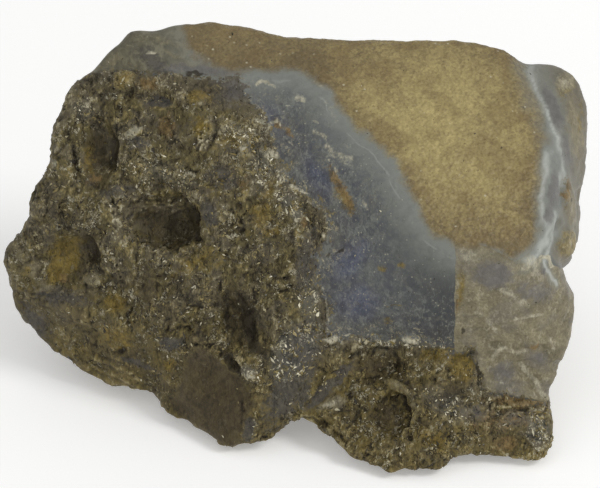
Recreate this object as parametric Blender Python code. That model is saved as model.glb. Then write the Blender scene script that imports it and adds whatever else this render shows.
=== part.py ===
"""A rough lump of blue lace agate, in metres, +Z up.

It is one piece of stone, and it stands on a small flat spot. The origin is under its middle. The front is
towards -Y.
"""

import math

import bmesh
import bpy
import numpy as np
from mathutils import Matrix, Vector, noise

# Driving dimensions. Everything below is drawn in millimetres for a stone of this width, and MM turns it into
# metres.
STONE_WIDTH = 0.111
DRAWN_WIDTH = 111.0
MM = STONE_WIDTH / DRAWN_WIDTH

BOARD_LEAN = math.radians(35.0)  # how far the board on which the front is drawn leans back, like the front
FUSE_STEP = 0.9  # how finely the blocks are fused, in millimetres
SWELL = 0.9  # what softening takes off the corners is put back all over, in millimetres
TRIANGLES = 8400

# The stone is drawn as convex blocks that overlap. A corner is (across, back from the front toe, height).
BLOCKS = {
    "banded core": [
        # the brown druse on top, from its back left corner round to the front
        (-18, 58, 60.8), (-4, 58.5, 59.5), (17, 59, 59), (30, 59.5, 59), (38.2, 59, 58), (41, 58, 56.3),
        (42.5, 56, 55), (46, 34, 50), (45.5, 21, 43), (40, 15, 39), (29.5, 15, 42), (24.5, 17, 43.5),
        (19.5, 26, 49), (16.5, 31, 51.5), (8.5, 38.5, 54.5), (3.5, 46, 57.5), (-9.5, 48, 58),
        # the blue front, from the top of the crust down to its foot
        (-10, 44.5, 56), (-3, 31, 50), (5, 24, 42), (4, 19, 28), (6.5, 17.5, 18.5), (17.5, 16.5, 18),
        (29.3, 14.8, 18), (7, 28, 6), (30, 22, 8),
        # the back and the underside
        (-25, 65, 35), (30, 66, 33), (38, 61, 50), (32, 60, 9), (-20, 60, 8), (16, 48, 0), (-6, 48, 0),
    ],
    "back hump": [
        (-27, 58, 62.4), (-23, 60, 62.8), (-17, 60.5, 62.8), (-9, 60, 61.2), (-3, 58, 60), (-10, 48, 58),
        (-22, 48, 58.5), (-25, 65, 35), (-5, 65, 35), (5, 57, 50),
    ],
    "upper flank": [
        (-32, 58, 63.2), (-34.5, 56, 61.2), (-39.5, 51.5, 58), (-42.5, 50, 56), (-28, 48, 58.4),
        (-9.5, 47, 57.8), (-45.5, 46, 53), (-46.8, 43, 49), (-47, 41, 46.5), (-47.5, 41, 42),
        (-10, 44.5, 56), (-3, 31, 50), (5, 24.5, 42), (4.5, 21.5, 35), (-1, 22, 33), (-9, 21.5, 31),
        (-16, 23, 35), (-36, 32, 33), (-42, 60, 35), (-30, 63, 20), (-10, 62, 50), (-44, 50, 20),
        (-8, 62, 25),
    ],
    "left flank": [
        (-46.5, 41, 43), (-49.3, 39.5, 39), (-50.5, 38.5, 36), (-53.5, 38, 30), (-55.8, 37, 26),
        (-56.5, 37, 22), (-56.3, 37, 18), (-55, 35.5, 14), (-52.5, 34.5, 10.5), (-48.5, 32, 5.5),
        (-42, 28, 3), (-36, 25, 2), (-30, 23.2, 2.2), (-26.5, 20.8, 2.2), (-36, 30, 30), (-20, 22, 30),
        (-16, 24, 36), (-9, 21.5, 31), (-12, 17, 20), (-22, 17, 12), (-42, 60, 25), (-30, 60, 10),
        (-10, 58, 8), (-8, 61, 25), (-10, 45, 40), (-44, 46, 8),
    ],
    "toe": [
        (-30, 23, 2.5), (-26.5, 20.5, 2.2), (-25, 17, 2), (-23.5, 13, 1.6), (-20, 11, 1.5),
        (-15.5, 6.7, 1.3), (-12, 5, 1.2), (-9.5, 5.2, 1.8), (-7, 8.7, 4), (-4, 10, 6), (0, 9.3, 6.5),
        (-12, 22.5, 33), (-5, 21, 33), (4, 19, 26), (4.5, 21.5, 35), (6, 17.5, 18.5), (-3, 20.5, 31),
        (-18, 21.5, 30), (-24, 22, 22), (-30, 45, 5), (-6, 48, 0), (-8, 30, 0), (2, 29, 0),
    ],
    "tongue": [
        (-3, 10.5, 6), (0, 9.5, 6.3), (6, 9, 6), (9, 11, 8), (5, 18.5, 26), (16, 17, 17.8), (10, 30, 4),
        (-4, 30, 4), (4, 11.5, 11), (-2, 15, 18),
    ],
    "lower lobe": [
        (3.5, 7, 5.7), (6.5, 6, 5.5), (9.5, 2.7, 3.3), (13, -1, 1.8), (17, -3.6, 1), (23, -3, 1),
        (27, -0.5, 1.8), (30, 3, 4), (34, 9, 11), (32, 12.5, 16.5), (29, 13, 18), (18, 16, 17.5),
        (9.5, 14, 13), (20, 5, 11), (29, 6, 10), (0, 13, 6), (40, 25, 12), (18, 30, 0), (16, 48, 0),
        (4, 29, 0),
    ],
    "right lobe": [
        (28, 3, 3.5), (31, 1.5, 2), (40, 1.5, 1), (46, 0, 0.3), (48, 2, 0.6), (48.2, 5.5, 4),
        (47.4, 9.5, 6.5), (46, 12, 7.7), (37, 11, 11), (32, 10, 10), (45, 35, 6), (40, 25, 12), (20, 30, 4),
    ],
    "right shelf": [
        (42.5, 56, 54.5), (45, 58, 54.2), (50.5, 59, 53), (53.2, 57.5, 51.8), (54.3, 54.5, 49.4),
        (54.6, 51, 46), (54.4, 46, 42), (53.2, 41, 37.2), (52.3, 36, 32.5), (52.2, 32, 29.2),
        (51.5, 30, 28.6), (47.5, 28, 28), (49, 42, 16), (46, 34, 50), (45.5, 21, 43), (30, 65, 40),
        (49, 61, 25), (46, 54, 10), (20, 40, 30),
    ],
    "grey corner": [
        (29.3, 14.8, 18), (29.5, 15, 42), (40, 15, 39), (45, 21, 40), (50.2, 25, 27), (51.6, 23.5, 24.3),
        (51.5, 20.5, 19.5), (50.8, 18, 17), (47.2, 15.5, 13), (46.8, 14, 9), (44, 14, 8), (30, 30, 20),
        (48, 42, 8), (46, 34, 6), (30, 55, 8), (44, 30, 36), (36, 14, 12),
    ],
    "foot": [
        (-8, 30, -1.3), (-6, 48, -1.3), (16, 48, -1.3), (18, 30, -1.3), (-12, 28, 6), (-10, 52, 6),
        (20, 52, 6), (22, 28, 6),
    ],
}

# Hollows in the front: where on the leaning board (across, up), size (wide, tall), depth, turn in degrees.
# Each is deepest on its right, where the wall is steep, and runs out on its left.
HOLLOWS = {
    "upper left": ((-38.5, 63.0), (8.0, 13.0), 4.0, 8),
    "middle": ((-26.5, 49.5), (19.0, 14.0), 7.5, -22),
    "yellow": ((-45.0, 40.5), (11.0, 11.5), 3.5, 0),
    "valley": ((-15.0, 28.5), (8.5, 17.0), 4.0, 12),
    "plate": ((-15.5, 17.0), (11.0, 16.0), 3.0, 32),
    "round": ((18.3, 10.6), (8.5, 9.5), 5.5, 10),
    "under the blue": ((15.5, 19.5), (8.5, 7.0), 3.5, 0),
}

# Inside this outline on the board are the smooth blue, brown and grey faces. The rest is rough crust.
SMOOTH_FACES = [
    (-26, 82), (-20, 80), (-12, 74), (-7, 68), (-3, 58), (5, 50), (3, 40), (5, 26), (20, 26), (30, 23),
    (34, 16), (46, 13), (60, 13), (60, 95), (-26, 95),
]


def clear_scene():
    for old in list(bpy.data.objects):
        bpy.data.objects.remove(old, do_unlink=True)


def add_block(bm, corners):
    """Adds the convex block that has these corners."""
    verts = [bm.verts.new(Vector(corner) * MM) for corner in corners]
    hull = bmesh.ops.convex_hull(bm, input=verts)
    spare = set(hull["geom_interior"] + hull["geom_unused"])
    loose = [item for item in spare if isinstance(item, bmesh.types.BMVert)]
    bmesh.ops.delete(bm, geom=loose, context="VERTS")


def new_object(name, bm):
    mesh = bpy.data.meshes.new(name)
    bm.to_mesh(mesh)
    bm.free()
    made = bpy.data.objects.new(name, mesh)
    bpy.context.scene.collection.objects.link(made)
    return made


def apply_modifiers(stone):
    """Makes the modified shape the stone's own mesh."""
    graph = bpy.context.evaluated_depsgraph_get()
    mesh = bpy.data.meshes.new_from_object(stone.evaluated_get(graph))
    stone.modifiers.clear()
    stone.data = mesh


def fuse(stone):
    made = stone.modifiers.new("fuse", "REMESH")
    made.mode = "VOXEL"
    made.voxel_size = FUSE_STEP * MM
    apply_modifiers(stone)


def read_shape(mesh):
    """The places, in millimetres, and the normals of the mesh's vertices."""
    places = np.empty(len(mesh.vertices) * 3)
    normals = np.empty(len(mesh.vertices) * 3)
    mesh.vertices.foreach_get("co", places)
    mesh.vertex_normals.foreach_get("vector", normals)
    return places.reshape(-1, 3) / MM, normals.reshape(-1, 3)


def write_places(mesh, places):
    mesh.vertices.foreach_set("co", (places * MM).ravel())
    mesh.update()


def on_board(places):
    """Across and up on the leaning board."""
    return places[:, 0], places[:, 1] * math.sin(BOARD_LEAN) + places[:, 2] * math.cos(BOARD_LEAN)


def inside_by(x, y, outline):
    """How far inside a closed outline the points are; less than 0 outside."""
    nearest = np.full(len(x), 1e9)
    within = np.zeros(len(x), bool)
    for (ax, ay), (bx, by) in zip(outline, outline[1:] + outline[:1]):
        along = ((x - ax) * (bx - ax) + (y - ay) * (by - ay)) / ((bx - ax) ** 2 + (by - ay) ** 2)
        along = np.clip(along, 0, 1)
        nearest = np.minimum(nearest, np.hypot(x - ax - along * (bx - ax), y - ay - along * (by - ay)))
        if ay != by:
            within ^= ((ay > y) != (by > y)) & (x < (bx - ax) * (y - ay) / (by - ay) + ax)
    return np.where(within, nearest, -nearest)


def sink_hollows(stone):
    """Pushes the front in at each hollow, square to the board."""
    places, normals = read_shape(stone.data)
    inward = np.array([0, math.cos(BOARD_LEAN), -math.sin(BOARD_LEAN)])
    across, up = on_board(places)
    push = np.zeros(len(places))
    for (mid_across, mid_up), (wide, tall), deep, turn in HOLLOWS.values():
        turn_cos, turn_sin = math.cos(math.radians(turn)), math.sin(math.radians(turn))
        x, y = across - mid_across, up - mid_up
        x, y = (x * turn_cos + y * turn_sin) / (wide / 2), (y * turn_cos - x * turn_sin) / (tall / 2)
        reach = np.minimum(x * x + y * y, 1)
        push = np.maximum(push, deep * (1 - reach ** 2) * (0.6 + 0.5 * np.clip(x, -1, 1)))
    faces_board = normals @ inward < 0
    write_places(stone.data, places + np.outer(push * faces_board, inward))


def roughen(stone):
    """Knobbly relief all over, shallow on the smooth faces and none where the stone rests."""
    places, normals = read_shape(stone.data)
    across, up = on_board(places)
    front = normals @ np.array([0, -math.cos(BOARD_LEAN), math.sin(BOARD_LEAN)]) > -0.1
    smooth = np.clip(inside_by(across, up, SMOOTH_FACES) / 3 + 0.5, 0, 1) * front
    lumps = np.array([noise.fractal(Vector(spot) / 11, 0.9, 2.1, 3) for spot in places])
    knobs = np.array([noise.turbulence(Vector(spot) / 5, 2, False) for spot in places])
    relief = 0.8 * lumps + 0.9 * (knobs - 0.45)
    height = SWELL * np.clip(2 + 2 * normals[:, 2], 0, 1) + relief * (1 - 0.75 * smooth)
    height *= np.clip(places[:, 2] + 1, 0, 1)
    write_places(stone.data, places + normals * height[:, None])


def thin_out(stone):
    thin = stone.modifiers.new("fewer triangles", "DECIMATE")
    thin.ratio = TRIANGLES / (2 * len(stone.data.polygons))
    apply_modifiers(stone)


def cut_rest(stone):
    """Cuts the flat spot that the stone rests on, at height 0."""
    bm = bmesh.new()
    size = Matrix.Diagonal((200 * MM, 200 * MM, 40 * MM, 1))
    bmesh.ops.create_cube(bm, size=1, matrix=Matrix.Translation((0, 30 * MM, -20 * MM)) @ size)
    below = new_object("below", bm)
    below.hide_render = True
    below.display_type = "WIRE"
    cut = stone.modifiers.new("flat spot", "BOOLEAN")
    cut.operation = "DIFFERENCE"
    cut.solver = "EXACT"
    cut.object = below
    apply_modifiers(stone)
    bpy.data.objects.remove(below, do_unlink=True)


def centre(stone):
    """Puts the origin under the middle of the stone."""
    places, _ = read_shape(stone.data)
    middle = (places.min(0) + places.max(0)) / 2
    write_places(stone.data, places - [middle[0], middle[1], 0])


def stone_material():
    material = bpy.data.materials.new("agate")
    material.use_nodes = True
    surface = material.node_tree.nodes["Principled BSDF"]
    surface.inputs["Base Color"].default_value = (0.13, 0.11, 0.075, 1)
    surface.inputs["Roughness"].default_value = 0.55
    return material


def main():
    clear_scene()
    bm = bmesh.new()
    for corners in BLOCKS.values():
        add_block(bm, corners)
    stone = new_object("agate_stone", bm)
    fuse(stone)
    soften = stone.modifiers.new("soften", "SMOOTH")
    soften.iterations = 4
    apply_modifiers(stone)
    sink_hollows(stone)
    fuse(stone)
    roughen(stone)
    fuse(stone)
    thin_out(stone)
    cut_rest(stone)
    centre(stone)
    stone.data.materials.clear()
    stone.data.materials.append(stone_material())


main()
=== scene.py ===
"""A rough lump of blue lace agate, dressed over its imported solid.

The stone is drawn again over the solid with finer relief, small quartz grains grow on it, and a plain studio
is set round it. The file is laid out as an add-on and is run as a script.
"""

import math

import bmesh
import bpy
import numpy as np
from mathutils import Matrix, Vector, noise


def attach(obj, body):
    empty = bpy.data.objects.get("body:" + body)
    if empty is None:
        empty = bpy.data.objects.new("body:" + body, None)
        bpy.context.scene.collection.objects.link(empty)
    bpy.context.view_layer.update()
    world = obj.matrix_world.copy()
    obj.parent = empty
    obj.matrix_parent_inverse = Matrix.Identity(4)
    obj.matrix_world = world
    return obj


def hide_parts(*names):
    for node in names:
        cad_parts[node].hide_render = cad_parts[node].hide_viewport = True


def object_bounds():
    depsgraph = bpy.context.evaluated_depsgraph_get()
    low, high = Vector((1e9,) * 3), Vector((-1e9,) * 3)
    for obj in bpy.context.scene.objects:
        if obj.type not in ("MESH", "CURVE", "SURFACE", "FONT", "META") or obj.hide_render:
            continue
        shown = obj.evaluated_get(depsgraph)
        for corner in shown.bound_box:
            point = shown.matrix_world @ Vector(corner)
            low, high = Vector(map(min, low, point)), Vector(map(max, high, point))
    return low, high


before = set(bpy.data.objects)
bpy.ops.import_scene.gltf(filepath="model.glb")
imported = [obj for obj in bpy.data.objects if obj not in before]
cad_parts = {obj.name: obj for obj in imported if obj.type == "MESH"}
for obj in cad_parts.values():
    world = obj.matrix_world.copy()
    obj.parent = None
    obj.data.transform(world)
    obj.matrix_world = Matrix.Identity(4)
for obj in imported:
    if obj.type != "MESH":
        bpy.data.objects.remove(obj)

bl_info = {
    "name": "Blue lace agate",
    "version": (1, 0, 0),
    "blender": (4, 5, 0),
    "location": "3D View > Sidebar > Agate",
    "description": "A rough lump of blue lace agate with a druse top, a blue face and a crust of quartz",
    "category": "Add Mesh",
}

SOLID_LOW, SOLID_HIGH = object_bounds()
MM = 0.001  # the relief is worked out in millimetres
noise.seed_set(3)  # without a seed, noise vectors differ from run to run

# ------------------------------------------------------------------------------
# The front view
#
# What lies on the front is placed as it is seen from the camera: (across, down) in a view of 600 by 488
# steps. Sizes are (long, wide) in steps, and turns are in degrees, anticlockwise. Heights are in millimetres.

VIEW_WIDE, VIEW_TALL = 600, 488
VIEW_STEP = 0.19  # what a step measures at the middle of the stone, in millimetres
VIEW_LEAN = math.radians(35.0)  # how far above the ground the camera stands
VIEW_AWAY = 1000.0  # from the camera to the middle of the view, in millimetres
VIEW_MIDDLE = np.array((SOLID_LOW + SOLID_HIGH) / 2) / MM + (0.54, -0.71, -0.58)
VIEW_BACK = np.array([0.0, -math.cos(VIEW_LEAN), math.sin(VIEW_LEAN)])  # from the stone towards the camera
VIEW_UP = np.array([0.0, math.sin(VIEW_LEAN), math.cos(VIEW_LEAN)])

CRUST_TOP = [
    (60, 92), (76, 80), (95, 71), (121, 72), (146, 71), (173, 72), (193, 77), (206, 76), (237, 76),
]
CRUST_EDGE = [
    (247, 96), (262, 114), (283, 162), (297, 189), (322, 206), (333, 222), (329, 240), (316, 258),
    (318, 286), (326, 298), (329, 332), (336, 340), (363, 337), (392, 341), (407, 337), (424, 345),
    (441, 345), (455, 352), (472, 352), (479, 367), (482, 386), (492, 393), (512, 395), (535, 399),
    (548, 402),
]
CRUST = CRUST_TOP + CRUST_EDGE + [(640, 404), (640, 540), (-40, 540), (-40, 92)]
HUMP = [
    (40, 92), (95, 40), (132, 0), (185, 0), (192, 52), (205, 62), (229, 71), (240, 77), (206, 76), (193, 77),
    (173, 72), (146, 71), (121, 72), (95, 71), (76, 80),
]
DRUSE = [
    (180, -40), (186, 44), (193, 53), (205, 63), (229, 71), (262, 70), (294, 69), (316, 77), (332, 95),
    (355, 125), (377, 142), (393, 158), (407, 184), (417, 206), (430, 231), (453, 246), (485, 246),
    (500, 254), (515, 260), (528, 250), (538, 240), (540, 221), (543, 186), (543, 165), (547, 142),
    (543, 107), (538, 92), (528, 74), (522, 60), (522, -40),
]
CORNER = [
    (455, 240), (485, 246), (505, 256), (515, 262), (530, 252), (545, 262), (562, 268), (640, 284),
    (640, 400), (548, 402), (535, 399), (512, 395), (492, 393), (482, 386), (479, 367), (472, 352),
    (455, 352),
]
SLAB = [
    (526, 40), (528, 74), (543, 93), (553, 125), (560, 148), (567, 170), (562, 200), (556, 230), (550, 250),
    (562, 268), (640, 270), (640, 40),
]
# the white lace: each band's line, half its width in steps and its strength
LACE = {
    "soft band": ([(529, 68), (536, 90), (545, 106), (552, 122), (557, 142)], 8, 0.5),
    "upper thread": ([(533, 80), (541, 96), (546, 108)], 2.6, 0.8),
    "middle thread": ([(546, 106), (551, 118), (554, 132), (558, 144)], 2.8, 1.0),
    "by the druse": ([(549, 152), (545, 166), (542, 186), (542, 205), (545, 224)], 5.5, 0.75),
    "right of the core": ([(557, 144), (561, 158), (563, 172), (561, 186)], 5, 0.65),
    "low band": ([(545, 218), (549, 228), (546, 240), (538, 254), (524, 262)], 6, 0.7),
    "right foot": ([(556, 214), (553, 234), (548, 250)], 3.5, 0.6),
    "foot": ([(549, 252), (545, 262), (549, 274), (553, 284)], 3.5, 0.85),
}
# pale scratches and threads: the line, half its width in steps and its strength
SCRATCHES = {
    "hook": ([(257, 85), (261, 81), (268, 82), (275, 87)], 2.2, 0.4),
    "dab in the blue": ([(298, 98), (303, 100)], 4.2, 0.34),
    "short dash": ([(313, 121), (318, 122)], 1.8, 0.34),
    "dash": ([(314, 131), (321, 134), (327, 137)], 2.8, 0.34),
    "brush": ([(326, 145), (332, 152), (341, 157), (352, 159)], 4, 0.28),
    "brush end": ([(330, 155), (342, 162), (352, 165)], 1.8, 0.2),
    "second dash": ([(343, 146), (349, 148)], 2, 0.2),
    "halo streak": ([(325, 100), (331, 110), (337, 121)], 3, 0.14),
    "halo dab": ([(318, 84), (323, 88)], 3, 0.24),
    "chip": ([(264, 151), (270, 154), (276, 156)], 5, 0.32),
    "by the rust": ([(328, 158), (332, 164), (337, 171)], 1.8, 0.3),
    "second by the rust": ([(362, 196), (366, 208), (369, 216)], 2, 0.22),
    "thread": ([(270, 115), (276, 117), (281, 125)], 1.8, 0.4),
    "bow": ([(266, 131), (268, 124), (275, 121)], 2, 0.28),
    "second thread": ([(284, 137), (289, 142), (294, 147)], 1.8, 0.28),
    "bright thread": ([(289, 184), (297, 188), (308, 194)], 2, 0.5),
    "rim of the blue": ([(256, 120), (264, 122)], 3, 0.43),
    "edge of the oval": ([(322, 286), (327, 298), (328, 314), (327, 332)], 1.8, 0.3),
    "corner dash": ([(500, 290), (512, 294)], 3.5, 0.36),
    "corner spot": ([(523, 302), (528, 305)], 5, 0.29),
    "long streak": ([(515, 319), (530, 317), (543, 315)], 2.4, 0.36),
    "corner streak": ([(489, 321), (492, 327), (496, 332)], 3.4, 0.4),
    "faint streak": ([(476, 312), (482, 316)], 3, 0.29),
    "arc": ([(492, 360), (496, 352), (505, 348), (517, 354), (526, 350)], 2.8, 0.36),
    "arc start": ([(488, 345), (497, 353)], 2.6, 0.25),
    "lower streak": ([(521, 364), (529, 374), (540, 386)], 3.4, 0.43),
    "lower spot": ([(539, 390), (543, 396)], 4, 0.36),
    "low threads": ([(498, 372), (502, 382)], 2.4, 0.22),
    "top threads": ([(508, 284), (516, 300)], 2.2, 0.22),
    "ridge": ([(549, 339), (553, 349)], 3, 0.29),
    "loop": ([(538, 264), (542, 257), (549, 258), (551, 266)], 3, 0.58),
    "cream by the loop": ([(523, 268), (530, 260), (538, 262), (534, 274)], 5, 0.32),
}
# smooth places in the crust: how much of the roughness they lose
CALM = {
    "brown plate": (
        [(198, 344), (216, 352), (233, 368), (250, 386), (255, 408), (245, 428), (242, 450), (217, 445),
         (172, 412), (176, 386), (186, 356)], 0.85),
    "dark blue strip": (
        [(300, 420), (306, 404), (337, 378), (352, 352), (361, 356), (346, 388), (322, 408)], 0.85),
    "yellow hollow": ([(46, 240), (68, 226), (94, 240), (96, 262), (84, 282), (56, 282), (44, 262)], 0.6),
    "upper left hollow": ([(84, 134), (112, 116), (118, 150), (112, 182), (88, 184), (80, 160)], 0.55),
    "middle hollow": (
        [(124, 206), (160, 196), (190, 200), (198, 226), (188, 246), (150, 240), (128, 226)], 0.5),
    "wrinkled slope": (
        [(146, 110), (188, 100), (220, 112), (228, 150), (208, 172), (176, 160), (150, 146)], 0.5),
    "beside the hump": ([(186, 76), (240, 74), (264, 100), (262, 122), (230, 116), (196, 100)], 0.85),
    "left foot": (
        [(0, 262), (34, 278), (78, 284), (112, 296), (122, 326), (170, 340), (196, 362), (184, 400),
         (150, 430), (90, 410), (20, 340)], 0.6),
    "slate field": (
        [(306, 294), (326, 300), (334, 342), (340, 372), (312, 400), (282, 420), (258, 440), (262, 396),
         (276, 352), (288, 318)], 0.35),
}
# what stands out of the stone (less than 0 goes in): middle, size, turn, height
BUMPS = {
    "ochre knob": ((125, 81), (27, 21), 0, 1.7),
    "upper left wall": ((113, 151), (46, 12), 84, -0.9),
    "upper left floor": ((97, 162), (72, 34), 84, -0.9),
    "chip over the hollow": ((132, 133), (27, 11), 22, 0.5),
    "dark patch": ((158, 101), (30, 13), -8, -0.5),
    "middle hollow": ((184, 222), (46, 32), -70, -0.8),
    "middle hollow floor": ((152, 230), (84, 46), -10, -1.0),
    "rim over the middle hollow": ((152, 192), (62, 12), 4, 0.4),
    "wall of the yellow hollow": ((91, 250), (36, 17), -75, -1.3),
    "yellow hollow": ((68, 256), (50, 44), 0, -0.7),
    "knob in the hollow": ((96, 279), (26, 15), 0, 1.4),
    "pit in the left flank": ((121, 351), (14, 9), 20, -0.6),
    "valley": ((238, 322), (90, 34), -72, -1.2),
    "ridge by the valley": ((270, 318), (80, 18), -78, 0.8),
    "crystals by the crevice": ((255, 374), (26, 17), -15, 0.8),
    "cavity under the blue": ((376, 366), (56, 36), -10, -0.5),
    "bridge": ((398, 387), (36, 12), -26, 0.9),
    "round pit": ((389, 417), (42, 46), 0, -0.8),
    "yellow lump": ((437, 358), (38, 20), -6, 0.6),
    "lump at the corner": ((462, 368), (28, 22), -60, 0.7),
    "tan chip": ((330, 406), (34, 17), 18, 0.6),
    "chip on the edge": ((410, 340), (23, 8), -14, 0.5),
    "left chip on the edge": ((330, 340), (18, 8), 8, 0.5),
    "tan knob": ((565, 243), (36, 17), 80, 1.3),
    "ochre lump": ((547, 342), (20, 10), -60, 0.5),
    "second ochre lump": ((532, 345), (14, 13), 0, 0.4),
    "hollow by the lumps": ((523, 340), (12, 8), 40, -0.3),
    "slab strip": ((569, 204), (60, 13), -84, 0.6),
    "notch in the slab": ((585, 196), (22, 22), 0, -0.9),
    "notch in the right edge": ((558, 366), (14, 10), 60, -0.7),
    "lilac dome": ((494, 274), (46, 30), 0, 0.4),
    "notch by the knob": ((576, 250), (18, 10), 60, -0.6),
    "pale blob": ((270, 153), (20, 13), -25, 0.4),
}
# cracks and crevices: the line, its width and its depth
CREVICES = {
    "left crevice": ([(71, 140), (73, 152), (79, 180)], 5, 1.3),
    "by the upper left hollow": ([(115, 128), (118, 150), (114, 172)], 4, 1.0),
    "under the middle hollow": ([(188, 200), (198, 218), (196, 240)], 6, 1.4),
    "arched rim": ([(122, 214), (132, 203), (148, 197), (166, 195), (184, 199)], 4, 0.4),
    "down the middle": ([(253, 281), (254, 310), (252, 338), (262, 352)], 3, 0.6),
    "over the plate": ([(196, 345), (206, 344), (218, 350), (230, 360), (238, 370), (244, 380)], 4, 1.1),
    "in the plate": ([(241, 400), (242, 412), (240, 430)], 3, 0.8),
    "left pit": ([(88, 306), (90, 314), (93, 322)], 3, 0.8),
    "corner crevice": ([(472, 354), (479, 368), (482, 388)], 4, 1.2),
    "over the round pit": ([(388, 400), (401, 400), (409, 412), (410, 438)], 6, 1.5),
    "under the strip": ([(305, 418), (322, 422), (346, 442)], 6, 1.0),
    "rim of the cavity": ([(352, 356), (368, 350), (390, 350), (402, 360), (404, 372)], 4, 0.8),
    "left flank seam": ([(112, 200), (120, 216), (126, 232)], 4, 0.7),
    "fold in the lower lobe": ([(486, 420), (512, 408), (540, 414)], 4, 0.9),
    "short fold": ([(524, 432), (536, 440), (548, 442)], 3, 0.8),
    "beside the tan knob": ([(558, 220), (555, 234), (557, 248)], 3, 0.8),
    "beside the slab rim": ([(562, 176), (563, 190), (561, 204)], 3, 0.5),
    "over the middle": ([(216, 118), (214, 140), (204, 156)], 4, 0.7),
}
# wrinkles: middle, size, turn of the ridges, how far apart they are, height
FOLDS = {
    "upper wrinkles": ((168, 132), (44, 22), 104, 7, 0.4),
    "wrinkles by the middle": ((203, 134), (42, 20), 78, 6.5, 0.4),
    "ribs of the middle hollow": ((158, 207), (70, 22), -6, 5, 0.3),
    "ribs on the plate": ((214, 398), (60, 40), 84, 11, 0.12),
    "lower lobe folds": ((512, 412), (80, 34), 8, 8, 0.35),
    "layers on the left": ((52, 294), (84, 22), -4, 7, 0.25),
    "corner layers": ((520, 350), (100, 84), -6, 15, 0.16),
    "ledges on the toe": ((120, 372), (90, 26), -24, 9, 0.3),
}
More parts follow.
